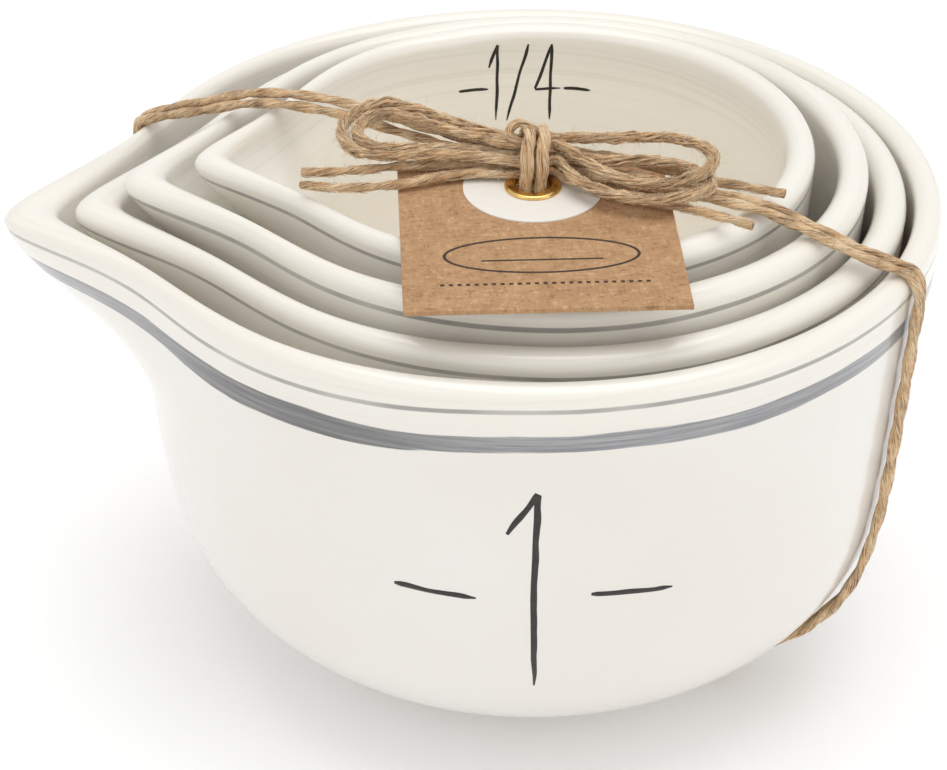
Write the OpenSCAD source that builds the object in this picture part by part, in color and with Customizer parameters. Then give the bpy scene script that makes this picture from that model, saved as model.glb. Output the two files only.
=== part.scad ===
// Nested set of four pouring measuring cups, tied with doubled twine and tagged.
// Millimetres. +Z is up, z = 0 is the surface the big cup stands on, the origin is in the middle
// of the big cup's length from rim to beak, and every beak points to -X.

/* [Full cup] */
// Outer radius of the full cup at its rim
full_radius = 48; // [47.5:0.1:48.5]
// Height of the full cup
full_height = 62; // [61.8:0.1:62.4]
// Wall thickness of the full cup at its rim
full_wall = 3.4; // [3:0.1:3.6]

/* [Half cup] */
// Outer radius of the half cup at its rim
half_radius = 42.2; // [42:0.1:42.4]
// Height of the half cup
half_height = 54.4; // [54:0.1:54.6]
// Wall thickness of the half cup at its rim
half_wall = 3.8; // [3.2:0.1:4]
// How far the half cup sits towards +X
half_shift = 1.7; // [1.4:0.1:1.8]

/* [Third cup] */
// Outer radius of the third cup at its rim
third_radius = 37.6; // [37.3:0.1:37.8]
// Height of the third cup
third_height = 49.6; // [49.2:0.1:49.8]
// Wall thickness of the third cup at its rim
third_wall = 3.6; // [3.2:0.1:3.8]
// How far the third cup sits towards +X
third_shift = 1.6; // [1.5:0.1:1.7]

/* [Quarter cup] */
// Outer radius of the quarter cup at its rim
quarter_radius = 31.4; // [31.2:0.1:31.8]
// Height of the quarter cup
quarter_height = 43.5; // [43.2:0.1:43.6]
// Wall thickness of the quarter cup at its rim
quarter_wall = 3.4; // [3:0.1:3.6]
// How far the quarter cup sits towards +X
quarter_shift = 1.5; // [1.2:0.1:1.8]

/* [Cup shape] */
// Height of a cup's inner floor above its foot, which is what the next cup stands on
floor_height = 8; // [7.5:0.1:8.5]
// Foot radius as a share of the rim radius
foot_share = 0.445; // [0.4:0.005:0.46]
// How full the bowl is low down
bowl_power = 6.9; // [6:0.1:7.5]
// How far the full cup's beak reaches, as a share of its rim radius
beak_reach = 1.29; // [1.28:0.01:1.3]
// How far the inside of that beak reaches, as a share of the same radius
beak_inner_reach = 1.15; // [1.14:0.01:1.16]
// How far the beaks of the three nested cups reach, as a share of their rim radius
nested_beak_reach = 1.32; // [1.3:0.01:1.32]
// How far the insides of those beaks reach, as a share of the same radius
nested_beak_inner_reach = 1.18; // [1.17:0.01:1.19]

/* [Tag] */
// Width of the tag
tag_width = 30; // [28:0.5:32]
// Length of the tag
tag_length = 32.5; // [30:0.5:33]
// Thickness of the card
tag_thickness = 0.5; // [0.4:0.1:0.6]
// Distance from the tag's back edge to the eyelet's centre
eyelet_inset = 7; // [6.8:0.1:7.2]
// Radius of the white rings stuck around the eyelet
patch_radius = 7.8; // [7:0.1:8.5]
// Outer radius of the eyelet's flange
eyelet_flange_radius = 3.2; // [3:0.1:3.4]
// Outer radius of the eyelet's tube
eyelet_tube_radius = 2.2; // [2.1:0.1:2.3]
// Radius of the eyelet's hole
eyelet_bore_radius = 1.8; // [1.75:0.05:1.85]

/* [Twine] */
// Diameter of one strand of twine
twine_diameter = 1.3; // [1.1:0.1:1.3]

/* [Hidden] */
// Facets around a cup, with closer ones near its beak
CUP_SIDES = 40;
CUP_CROWDING = 18;
// Straight side of the foot, and the recess under it
FOOT_HEIGHT = 1.2;
RECESS_HEIGHT = 2;
RECESS_SHARE = 0.36;
// Part of the rim radius that the wall still gains above the bowl, outside and inside
FLARE_OUTSIDE = 0.071;
FLARE_INSIDE = 0.045;
FLOOR_SHARE = 0.45;
// Beak: how far down it fades, how blunt its tip is, its flank slope and its fillets
BEAK_DEPTH_OUTSIDE = 0.5;
BEAK_DEPTH_INSIDE = 0.42;
BLUNT_OUTSIDE = 0.07;
BLUNT_INSIDE = 0.06;
SLOPE_OUTSIDE = 0.856;
SLOPE_INSIDE = 1;
FILLET_OUTSIDE = 0.085;
FILLET_INSIDE = 0.12;
BEAK_SPAN = 40;
BEAK_FADE_SPAN = 35;

// The shapes and routes below count X from the full cup's axis. The axis stands this far from
// the origin, which is midway between the full cup's rim and the tip of its beak.
FULL_TIP = full_radius + beak(0, full_radius, beak_reach * full_radius,
    BLUNT_OUTSIDE * full_radius, SLOPE_OUTSIDE, FILLET_OUTSIDE * full_radius);
CUP_AXIS = [(FULL_TIP - full_radius) / 2, 0, 0];

// The vertical plane of the twine around the full cup
TIE_BEARING = -31;
TIE_MIDDLE = [0, -7.2];
TIE_DIRECTION = [cos(TIE_BEARING), sin(TIE_BEARING)];
TIE_ACROSS = [-TIE_DIRECTION[1], TIE_DIRECTION[0]];
STRAND_OFFSET = 0.7;
SLOT_WIDTH = 3.6;
SLOT_HEIGHT = 1.7;

// Tag: centre of its eyelet, how far it is turned, and how far its front leans down
EYELET_CENTRE = [-2.7, -15.7, 68.3];
TAG_TURN = -5.5;
TAG_TILT = 0.8;
PATCH_THICKNESS = 0.15;
FLANGE_THICKNESS = 0.3;
WASHER_THICKNESS = 0.25;
ROLL_THICKNESS = 0.25;

// Knot of the bow: a barrel along X
KNOT_CENTRE = [-1.65, -13, 71.1];
KNOT_RADIUS = 1.95;
KNOT_LENGTH = 5.2;
KNOT_ROUNDING = 1.2;

// Steps between two points of the tie's route, which is the only smoothed one
ROUTE_STEPS = 2;
STRAND_SIDES = 8;
UP = [0, 0, 1];

CREAM = [0.93, 0.91, 0.87];
KRAFT = [0.78, 0.63, 0.48];
JUTE = [0.74, 0.59, 0.44];
BRASS = [0.8, 0.62, 0.3];

// Routes. The tie's points are its two strands' middle line with the strands' roll about it:
// 0 is side by side, 90 is one above the other.
LEFT_SPAN = [
    [-3.5, -11.65, 70.4, 90],
    [-9, -8.4, 70.6, 80],
    [-15.3, -3, 70.5, 70],
    [-21.6, 3.4, 70.1, 60],
    [-26, 7.2, 69.6, 50],
    [-30, 10.1, 68.9, 40],
    [-33.4, 12.1, 68, 35],
    [-36, 13.4, 67, 30],
    [-38.6, 14.8, 66, 25],
    [-41.5, 16.6, 64.8, 20],
    [-44, 18.7, 63.3, 10]
];
RIGHT_SPAN = [
    [35.6, -29, 63, 0],
    [33.8, -28.5, 63.6, 0],
    [31.6, -27.8, 64.5, 0],
    [29.2, -26.9, 65.5, 0],
    [27, -26, 66.5, 0],
    [24.2, -24.6, 67.5, 0],
    [21.5, -23.3, 68.4, 0],
    [15.3, -20.8, 69.2, 0],
    [10, -18.2, 69.5, 0],
    [5, -15.4, 69.6, 0],
    [0.2, -12.35, 69.7, 0]
];
// Distance along the tie's plane and height of each point of the wrap
WRAP = [
    [-52.8, 62.3],
    [-53.2, 61],
    [-53.5, 59],
    [-53, 55],
    [-51.3, 42],
    [-50.3, 30.2],
    [-48.8, 21.9],
    [-47.4, 17.8],
    [-45.8, 14.7],
    [-43.5, 11.6],
    [-41.4, 9.5],
    [-38.8, 7.4],
    [-35.6, 5.3],
    [-31.6, 3.2],
    [-27.2, 1.3],
    [-22.4, 0.85],
    [-4, 0.85],
    [15, 0.85],
    [19.8, 1.3],
    [24.2, 3.2],
    [28.2, 5.3],
    [31.4, 7.4],
    [34, 9.5],
    [36.1, 11.6],
    [38.4, 14.7],
    [40, 17.8],
    [41.4, 21.9],
    [42.9, 30.2],
    [43.8, 42],
    [44.5, 55],
    [44.7, 59],
    [44.4, 61],
    [43.4, 62.4]
];
// Places in the whole tie's list where one cup's stretch gives way to the next one's
LEFT_SPLITS = [6, 8, 9];
RIGHT_SPLITS = [1, 3, 5];

LOOP_LEFT_A = [
    [-3.5, -13, 72.5],
    [-8, -10.8, 72.8],
    [-12, -8.2, 73],
    [-15, -5.5, 73],
    [-16.8, -3.9, 72.8],
    [-18.7, -3.3, 72.5],
    [-20.5, -4.1, 72.1],
    [-21.3, -6, 71.7],
    [-20.5, -7.9, 71.4],
    [-18.6, -8.8, 71.2],
    [-15, -9.3, 71.1],
    [-12, -9.9, 71.2],
    [-8, -11, 71.2],
    [-3.5, -13, 71.1]
];
LOOP_LEFT_B = [
    [-3.5, -11.6, 72.5],
    [-8, -9.2, 72.9],
    [-12, -6.3, 73.3],
    [-14.8, -3.8, 73.4],
    [-17, -2.2, 73.3],
    [-19.4, -1.7, 72.9],
    [-21.8, -2.7, 72.3],
    [-22.9, -5, 71.8],
    [-22.6, -7.7, 71.3],
    [-20.8, -9.8, 71.1],
    [-17.8, -10.5, 71],
    [-15, -10.9, 71.1],
    [-12, -11.5, 71.2],
    [-8, -12.6, 71.2],
    [-3.5, -14.4, 71.1]
];
LOOP_RIGHT_A = [
    [0.2, -11.65, 72.5],
    [3.5, -13, 73],
    [7.5, -13.8, 73.1],
    [12.5, -14.2, 73],
    [15.6, -15.8, 72.8],
    [17, -18, 72.4],
    [16, -20.3, 71.9],
    [13.5, -21.6, 71.6],
    [10.5, -22.2, 71.5],
    [7.8, -21.6, 71.5],
    [5, -19.6, 71.8],
    [2.6, -16.6, 72.2],
    [0.2, -13, 72.5]
];
LOOP_RIGHT_B = [
    [0.2, -13, 71.1],
    [4.5, -15.2, 71.3],
    [8.6, -16.2, 71.3],
    [12, -16.8, 71.2],
    [14.4, -17.8, 70.9],
    [16.1, -19.6, 70.5],
    [15.9, -21.9, 70.5],
    [14, -23.5, 70.6],
    [11.4, -24.1, 70.7],
    [8.8, -24, 70.7],
    [6, -22.9, 70.6],
    [3.6, -20.9, 70.6],
    [1.6, -18.2, 70.8],
    [0.2, -14.4, 71.1]
];
TAIL_LEFT_A = [
    [-3.5, -13, 69.7],
    [-8, -11.8, 69.7],
    [-11, -11, 69.7],
    [-14.5, -10.6, 69.6],
    [-18, -10.3, 69.5],
    [-22.5, -10.2, 69.3],
    [-28, -9.6, 69.1]
];
TAIL_LEFT_B = [
    [-3.5, -14.35, 69.7],
    [-8, -13.4, 69.6],
    [-12.7, -13.4, 69.5],
    [-18.5, -14.4, 69.4],
    [-24, -13.9, 69.2],
    [-28.3, -12.2, 69]
];
TAIL_RIGHT_A = [
    [0.2, -11.65, 71.1],
    [4, -12.8, 70.9],
    [7.5, -14.2, 70.7],
    [10.5, -15.4, 70.2],
    [13.7, -17.1, 69.7],
    [17.2, -18.4, 69.3],
    [21, -19.8, 69],
    [24.6, -21.6, 68.9]
];
TAIL_RIGHT_B = [
    [0.2, -14.4, 69.7],
    [1, -15.9, 69.6],
    [2.6, -17.6, 69.6],
    [5.2, -19.4, 69.5],
    [9, -21.7, 69.4],
    [13, -24.1, 69.3],
    [16.3, -26.6, 69.3],
    [19.2, -28.8, 69.3]
];
// Closed loop through the eyelet and over the knot, its two strands side by side along X
TAG_LOOP = [
    [-2.7, -15.7, 67.4],
    [-2.7, -15.7, 69.4],
    [-2.6, -15.9, 71.2],
    [-2.4, -15.5, 72.8],
    [-2.1, -14.1, 73.6],
    [-1.9, -12.3, 73.7],
    [-1.8, -10.5, 72.9],
    [-1.8, -9.7, 71.3],
    [-1.9, -7.9, 70],
    [-2, -6.8, 68.6],
    [-2.1, -7.3, 67.2],
    [-2.3, -9.2, 66.4],
    [-2.5, -12, 66.1],
    [-2.6, -14.4, 66.3]
];

// ---- cups ----

// Smooth step from 0 to 1
function ease(t) = let (u = min(1, max(0, t))) u * u * (3 - 2 * u);

// Radius of the bowl without its beak, at height z, from a start radius at height low
function bowl(z, low, high, start, rim, flare) =
    let (t = min(1, max(0, (z - low) / (high - low))))
    start + (rim - flare - start) * (1 - pow(1 - t, bowl_power)) + flare * t;

// How far the beak stands out of a circle of radius r, at an angle from the beak's middle:
// a blunted V of the given flank slope, joined to the circle by a concave fillet
function beak(angle, r, reach, blunt, slope, fillet) =
    let (
        apex = reach + blunt,
        ss = slope * slope,
        c = cos(angle),
        s = sin(angle),
        a = c * c * ss - s * s,
        b = apex * c * ss,
        q = apex * apex * ss - blunt * blunt * ss,
        flank = q / (b + sqrt(max(b * b - a * q, 0))),
        out = flank - r,
        window = 1 - ease((angle - BEAK_SPAN) / BEAK_FADE_SPAN)
    )
    window * (out + sqrt(out * out + fillet * fillet)) / 2;

// Bearing of side i, crowded towards the beak at 180
function side_bearing(i) =
    let (u = 360 * i / CUP_SIDES)
    180 + u - CUP_CROWDING * sin(u);

// Angle between side i and the middle of the beak
function beak_angle(i) = let (t = side_bearing(i) - 180) t > 180 ? 360 - t : abs(t);

// Ring of corners from a list of [radius, height]
function ring(row) =
    [for (i = [0:CUP_SIDES - 1])
        let (t = side_bearing(i))
        [row[i][0] * cos(t), row[i][0] * sin(t), row[i][1]]];

// One cup as a closed shell, from the recess under its foot, up the outside, over the
// rounded rim and down the inside to the floor
module cup(r, h, wall, shift, base, reach, inner_reach) {
    foot = foot_share * r;
    recess = RECESS_SHARE * r;
    floor_radius = FLOOR_SHARE * r;
    lip = wall / 2;
    side = h - lip;
    outer_beak = [for (i = [0:CUP_SIDES - 1])
        beak(beak_angle(i), r, reach * r, BLUNT_OUTSIDE * r, SLOPE_OUTSIDE, FILLET_OUTSIDE * r)];
    inner_beak = [for (i = [0:CUP_SIDES - 1])
        beak(beak_angle(i), r - wall, inner_reach * r,
            BLUNT_INSIDE * r, SLOPE_INSIDE, FILLET_INSIDE * r)];
    outer_fade = BEAK_DEPTH_OUTSIDE * r;
    inner_fade = BEAK_DEPTH_INSIDE * r;
    outside_levels = [1.02, 3, 6, 10.5, 17, 26, 36, 44, 51, 57];
    inside_levels = [56, 50, 43, 34, 24, 15, 9, 4.5, 1.8];
    full_side = 60.3;
    outside = [for (level = outside_levels)
        let (z = FOOT_HEIGHT + (side - FOOT_HEIGHT) * level / full_side)
        [for (i = [0:CUP_SIDES - 1])
            [bowl(z, FOOT_HEIGHT, h, foot, r, FLARE_OUTSIDE * r)
                + outer_beak[i] * ease((z - h + outer_fade) / outer_fade), z]]];
    inside = [for (level = inside_levels)
        let (z = floor_height + (side - floor_height) * level / full_side)
        [for (i = [0:CUP_SIDES - 1])
            [bowl(z, floor_height, h, floor_radius, r - wall, FLARE_INSIDE * r)
                + inner_beak[i] * ease((z - h + inner_fade) / inner_fade), z]]];
    outer_rim = [for (i = [0:CUP_SIDES - 1]) r + outer_beak[i]];
    inner_rim = [for (i = [0:CUP_SIDES - 1]) r - wall + inner_beak[i]];
    rim = [for (turn = [0, 45, 90, 135, 180])
        [for (i = [0:CUP_SIDES - 1])
            let (middle = (outer_rim[i] + inner_rim[i]) / 2, half = (outer_rim[i] - inner_rim[i]) / 2)
            [middle + half * cos(turn), side + lip * sin(turn)]]];
    level_ring = function (radius, z) [for (i = [0:CUP_SIDES - 1]) [radius, z]];
    profile = concat(
        [level_ring(recess, RECESS_HEIGHT), level_ring(recess, 0), level_ring(foot, 0),
            level_ring(foot, FOOT_HEIGHT)],
        outside, rim, inside,
        [level_ring(floor_radius, floor_height)]
    );
    rings = len(profile);
    points = concat(
        [for (row = profile) each ring(row)],
        [[0, 0, RECESS_HEIGHT], [0, 0, floor_height]]
    );
    bottom = rings * CUP_SIDES;
    faces = concat(
        [for (j = [0:rings - 2], i = [0:CUP_SIDES - 1])
            let (k = (i + 1) % CUP_SIDES, a = j * CUP_SIDES, b = a + CUP_SIDES)
            each [[a + i, b + i, b + k], [a + i, b + k, a + k]]],
        [for (i = [0:CUP_SIDES - 1]) [bottom, i, (i + 1) % CUP_SIDES]],
        [for (i = [0:CUP_SIDES - 1])
            [bottom + 1, bottom - CUP_SIDES + (i + 1) % CUP_SIDES, bottom - CUP_SIDES + i]]
    );
    translate(CUP_AXIS + [shift, 0, base])
        polyhedron(points, faces, convexity = 4);
}

// The full cup, with a slot across its foot ring for the twine to pass under
module full_cup() {
    color(CREAM)
    difference() {
        cup(full_radius, full_height, full_wall, 0, 0, beak_reach, beak_inner_reach);
        translate(CUP_AXIS + [TIE_MIDDLE[0], TIE_MIDDLE[1], -1])
            rotate([0, 0, TIE_BEARING])
                translate([-full_radius, -SLOT_WIDTH / 2, 0])
                    cube([2 * full_radius, SLOT_WIDTH, SLOT_HEIGHT + 1]);
    }
}

module half_cup() {
    color(CREAM)
    cup(half_radius, half_height, half_wall, half_shift, floor_height,
        nested_beak_reach, nested_beak_inner_reach);
}

module third_cup() {
    color(CREAM)
    cup(third_radius, third_height, third_wall, third_shift, 2 * floor_height,
        nested_beak_reach, nested_beak_inner_reach);
}

module quarter_cup() {
    color(CREAM)
    cup(quarter_radius, quarter_height, quarter_wall, quarter_shift, 3 * floor_height,
        nested_beak_reach, nested_beak_inner_reach);
}

// ---- tag ----

// Places its children with the eyelet's centre at the origin and the tag's length along -Y
module on_tag() {
    translate(CUP_AXIS + EYELET_CENTRE)
        rotate([0, 0, TAG_TURN])
            rotate([TAG_TILT, 0, 0])
                children();
}

module disc(radius, low, high) {
    translate([0, 0, low])
        cylinder(r = radius, h = high - low, $fn = 64);
}

module tag_card() {
    color(KRAFT)
    on_tag()
        difference() {
            translate([-tag_width / 2, eyelet_inset - tag_length, -tag_thickness / 2])
                cube([tag_width, tag_length, tag_thickness]);
            disc(eyelet_tube_radius, -1, 1);
        }
}

// Ring of stiff paper, cut off flush with the tag's back edge
module patch(low) {
    difference() {
        disc(patch_radius, low, low + PATCH_THICKNESS);
        disc(eyelet_tube_radius, -2, 2);
        translate([-patch_radius, eyelet_inset, -2])
            cube([2 * patch_radius, patch_radius, 4]);
    }
}

module tag_patch_front() {
    color("white")
    on_tag()
        patch(tag_thickness / 2);
}

module tag_patch_back() {
    color("white")
    on_tag()
        patch(-tag_thickness / 2 - PATCH_THICKNESS);
}

// Tube with a domed flange on top and its lower end rolled outwards over the washer
module eyelet() {
    top = tag_thickness / 2 + PATCH_THICKNESS;
    low = -top - WASHER_THICKNESS;
    color(BRASS)
    on_tag()
        difference() {
            union() {
                disc(eyelet_tube_radius, low - ROLL_THICKNESS, top + FLANGE_THICKNESS);
                disc(eyelet_flange_radius, top, top + FLANGE_THICKNESS);
                disc(eyelet_tube_radius + 0.4, low - ROLL_THICKNESS, low);
            }
            disc(eyelet_bore_radius, -2, 2);
        }
}

module eyelet_washer() {
    top = -tag_thickness / 2 - PATCH_THICKNESS;
    color(BRASS)
    on_tag()
        difference() {
            disc(eyelet_flange_radius, top - WASHER_THICKNESS, top);
            disc(eyelet_tube_radius, -2, 2);
        }
}

// ---- twine ----

// Point of a smooth curve through four route points, between the middle two
function spline_point(a, b, c, d, t) =
    0.5 * (2 * b + (c - a) * t + (2 * a - 5 * b + 4 * c - d) * t * t
        + (3 * b - a - 3 * c + d) * t * t * t);

// Smooth line through an open route
function smooth(route) =
    let (last = len(route) - 1)
    concat(
        [for (i = [0:last - 1], k = [0:ROUTE_STEPS - 1])
            let (before = i > 0 ? route[i - 1] : 2 * route[0] - route[1],
                after = i < last - 1 ? route[i + 2] : 2 * route[last] - route[last - 1])
            spline_point(before, route[i], route[i + 1], after, k / ROUTE_STEPS)],
        [route[last]]
    );

function unit(v) = v / norm(v);

// Corners of the strand's cross-section at each point of a line, square to the line
function strand_rings(line, guide, radius) =
    let (last = len(line) - 1)
    [for (i = [0:last])
        let (
            along = unit(line[min(i + 1, last)] - line[max(i - 1, 0)]),
            aside = unit(cross(along, guide)),
            over = cross(aside, along)
        )
        [for (k = [0:STRAND_SIDES - 1])
            let (turn = 360 * (k + 0.5) / STRAND_SIDES)
            line[i] + radius * (cos(turn) * aside + sin(turn) * over)]];

// Closed tube along the rings first to last of a line
module strand(line, guide, first = 0, last = -1) {
    all_rings = strand_rings(line, guide, twine_diameter / 2);
    end = last < 0 ? len(line) - 1 : last;
    count = end - first + 1;
    points = [for (i = [first:end]) each all_rings[i]];
    faces = concat(
        [for (j = [0:count - 2], i = [0:STRAND_SIDES - 1])
            let (k = (i + 1) % STRAND_SIDES, a = j * STRAND_SIDES, b = a + STRAND_SIDES)
            each [[a + i, b + i, b + k], [a + i, b + k, a + k]]],
        [[for (i = [0:STRAND_SIDES - 1]) i]],
        [[for (i = [STRAND_SIDES - 1:-1:0]) (count - 1) * STRAND_SIDES + i]]
    );
    translate(CUP_AXIS)
        polyhedron(points, faces, convexity = 6);
}

function on_tie_plane(p) =
    [TIE_MIDDLE[0] + p[0] * TIE_DIRECTION[0], TIE_MIDDLE[1] + p[0] * TIE_DIRECTION[1], p[1], 0];
TIE = concat(LEFT_SPAN, [for (p = WRAP) on_tie_plane(p)], RIGHT_SPAN);
LEFT_COUNT = len(LEFT_SPAN);
WRAP_END = LEFT_COUNT + len(WRAP);

// One of the tie's two strands: side is 1 or -1
function tie_strand(side) =
    smooth([for (p = TIE)
        [p[0] + side * STRAND_OFFSET * cos(p[3]) * TIE_ACROSS[0],
            p[1] + side * STRAND_OFFSET * cos(p[3]) * TIE_ACROSS[1],
            p[2] + side * STRAND_OFFSET * sin(p[3])]]);
TIE_GUIDE = [TIE_ACROSS[0], TIE_ACROSS[1], 0];

// Both strands between two points of the tie
module tie_stretch(first, last) {
    for (side = [1, -1])
        strand(tie_strand(side), TIE_GUIDE, first * ROUTE_STEPS, last * ROUTE_STEPS);
}

module wrap_strand_a() {
    color(JUTE)
    strand(tie_strand(1), TIE_GUIDE, LEFT_SPLITS[2] * ROUTE_STEPS,
        (WRAP_END + RIGHT_SPLITS[0]) * ROUTE_STEPS);
}

module wrap_strand_b() {
    color(JUTE)
    strand(tie_strand(-1), TIE_GUIDE, LEFT_SPLITS[2] * ROUTE_STEPS,
        (WRAP_END + RIGHT_SPLITS[0]) * ROUTE_STEPS);
}

module rim_twine_half_left() {
    color(JUTE)
    tie_stretch(LEFT_SPLITS[1], LEFT_SPLITS[2]);
}

module rim_twine_half_right() {
    color(JUTE)
    tie_stretch(WRAP_END + RIGHT_SPLITS[0], WRAP_END + RIGHT_SPLITS[1]);
}

module rim_twine_third_left() {
    color(JUTE)
    tie_stretch(LEFT_SPLITS[0], LEFT_SPLITS[1]);
}

module rim_twine_third_right() {
    color(JUTE)
    tie_stretch(WRAP_END + RIGHT_SPLITS[1], WRAP_END + RIGHT_SPLITS[2]);
}

module top_twine_left() {
    color(JUTE)
    tie_stretch(0, LEFT_SPLITS[0]);
}

module top_twine_right() {
    color(JUTE)
    tie_stretch(WRAP_END + RIGHT_SPLITS[2], len(TIE) - 1);
}

// The lump where the strands cross and are drawn together
module bow_knot() {
    color(JUTE)
    translate(CUP_AXIS + KNOT_CENTRE)
        rotate([0, 90, 0])
            rotate_extrude($fn = 32)
                intersection() {
                    offset(r = KNOT_ROUNDING, $fn = 24)
                        square([2 * (KNOT_RADIUS - KNOT_ROUNDING),
                            KNOT_LENGTH - 2 * KNOT_ROUNDING], center = true);
                    translate([0, -KNOT_LENGTH])
                        square([KNOT_RADIUS, 2 * KNOT_LENGTH]);
                }
}

module tag_loop() {
    color(JUTE)
    for (side = [1, -1])
        translate([side * STRAND_OFFSET, 0, 0])
            ring_strand(TAG_LOOP);
}

// Closed ring of strand, for a line whose end meets its start
module ring_strand(line) {
    count = len(line);
    points = [for (i = [0:count - 1])
        let (
            along = unit(line[(i + 1) % count] - line[(i + count - 1) % count]),
            aside = unit(cross(along, [1, 0, 0])),
            over = cross(aside, along)
        )
        for (k = [0:STRAND_SIDES - 1])
            let (turn = 360 * (k + 0.5) / STRAND_SIDES)
            line[i] + twine_diameter / 2 * (cos(turn) * aside + sin(turn) * over)];
    faces = [for (j = [0:count - 1], i = [0:STRAND_SIDES - 1])
        let (k = (i + 1) % STRAND_SIDES, a = j * STRAND_SIDES,
            b = ((j + 1) % count) * STRAND_SIDES)
        each [[a + i, b + i, b + k], [a + i, b + k, a + k]]];
    translate(CUP_AXIS)
        polyhedron(points, faces, convexity = 6);
}

module bow_loop_left_a() {
    color(JUTE)
    strand(LOOP_LEFT_A, UP);
}

module bow_loop_left_b() {
    color(JUTE)
    strand(LOOP_LEFT_B, UP);
}

module bow_loop_right_a() {
    color(JUTE)
    strand(LOOP_RIGHT_A, UP);
}

module bow_loop_right_b() {
    color(JUTE)
    strand(LOOP_RIGHT_B, UP);
}

module bow_tail_left_a() {
    color(JUTE)
    strand(TAIL_LEFT_A, UP);
}

module bow_tail_left_b() {
    color(JUTE)
    strand(TAIL_LEFT_B, UP);
}

module bow_tail_right_a() {
    color(JUTE)
    strand(TAIL_RIGHT_A, UP);
}

module bow_tail_right_b() {
    color(JUTE)
    strand(TAIL_RIGHT_B, UP);
}

full_cup();
half_cup();
third_cup();
quarter_cup();
tag_card();
tag_patch_front();
tag_patch_back();
eyelet();
eyelet_washer();
wrap_strand_a();
wrap_strand_b();
rim_twine_half_left();
rim_twine_half_right();
rim_twine_third_left();
rim_twine_third_right();
top_twine_left();
top_twine_right();
bow_knot();
tag_loop();
bow_loop_left_a();
bow_loop_left_b();
bow_loop_right_a();
bow_loop_right_b();
bow_tail_left_a();
bow_tail_left_b();
bow_tail_right_a();
bow_tail_right_b();
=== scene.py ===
"""A nested set of four pouring cups, tied with doubled jute twine in a bow that holds a card tag.

Shapes and routes are in millimetres from the full cup's axis, with +Z up and every beak towards
-X, and place() turns them into metres in the part's frame."""

import math
import random
from collections import namedtuple

import bpy
from mathutils import Matrix, Vector, noise


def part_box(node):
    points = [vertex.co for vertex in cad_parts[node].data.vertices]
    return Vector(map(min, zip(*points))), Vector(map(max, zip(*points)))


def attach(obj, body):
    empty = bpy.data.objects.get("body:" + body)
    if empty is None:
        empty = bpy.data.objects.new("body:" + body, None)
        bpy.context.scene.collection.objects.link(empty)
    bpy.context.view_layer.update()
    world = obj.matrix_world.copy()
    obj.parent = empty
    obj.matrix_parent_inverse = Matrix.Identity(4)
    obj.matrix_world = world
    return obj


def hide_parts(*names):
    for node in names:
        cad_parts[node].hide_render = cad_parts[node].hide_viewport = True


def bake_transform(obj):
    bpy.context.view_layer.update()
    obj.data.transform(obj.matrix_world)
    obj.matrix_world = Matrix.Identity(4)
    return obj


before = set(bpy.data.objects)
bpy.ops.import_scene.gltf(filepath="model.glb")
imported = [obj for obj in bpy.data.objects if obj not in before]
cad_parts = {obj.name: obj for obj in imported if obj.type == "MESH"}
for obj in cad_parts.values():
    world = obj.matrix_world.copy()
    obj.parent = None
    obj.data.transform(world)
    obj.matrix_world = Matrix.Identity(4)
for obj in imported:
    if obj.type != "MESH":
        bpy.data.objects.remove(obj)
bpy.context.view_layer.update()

MM = 0.001

# ---- the cups' shape ----

Cup = namedtuple("Cup", "body radius height wall shift base reach inner_reach lines")
# lines are painted round the outside: (distance below the rim, width, blue)
CUPS = {
    "full_cup": Cup("full", 48, 62, 3.4, 0, 0, 1.29, 1.15, [(2.3, 0.5, 0), (6.4, 2.1, 1)]),
    "half_cup": Cup("half", 42.2, 54.4, 3.8, 1.7, 8, 1.32, 1.18, [(2.6, 0.45, 0)]),
    "third_cup": Cup("third", 37.6, 49.6, 3.6, 1.6, 16, 1.32, 1.18, [(2.6, 0.6, 0)]),
    "quarter_cup": Cup("quarter", 31.4, 43.5, 3.4, 1.5, 24, 1.32, 1.18, [(2.6, 0.45, 0)]),
}
FOOT_SHARE = 0.445
FOOT_HEIGHT = 1.2
RECESS_SHARE = 0.36
RECESS_HEIGHT = 2
FLOOR_SHARE = 0.45
FLOOR_HEIGHT = 8
# The smallest cup's floor curves up into its wall over this width, towards this slope
FLOOR_FILLET = 6
WALL_SLOPE = 0.41
# Bearing away from the beak, where a cup is round
BACK_BEARING = 0
BOWL_POWER = 6.9
# One face of a cup: where its bowl starts, and shares of the cup's radius for its flare, and for
# the beak's depth, bluntness and fillet; slope is of the beak's flanks
Skin = namedtuple("Skin", "low start flare depth blunt slope fillet")
OUTSIDE = Skin(FOOT_HEIGHT, FOOT_SHARE, 0.071, 0.5, 0.07, 0.856, 0.085)
INSIDE = Skin(FLOOR_HEIGHT, FLOOR_SHARE, 0.045, 0.42, 0.06, 1, 0.12)
BEAK_SPAN = 40
BEAK_FADE_SPAN = 35

axis_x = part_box("full_cup")[1][0] - CUPS["full_cup"].radius * MM


def place(x, y, z):
    """Metres in the part's frame, from millimetres from the full cup's axis."""
    return Vector((axis_x + x * MM, y * MM, z * MM))


# ---- twine routes, as in the part's source ----

STRAND_OFFSET = 0.7
TIE_BEARING = -31
TIE_MIDDLE = (0, -7.2)
# Notch across the biggest cup's foot ring, which the tie passes through
SLOT_WIDTH = 3.6
SLOT_HEIGHT = 1.7
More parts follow.
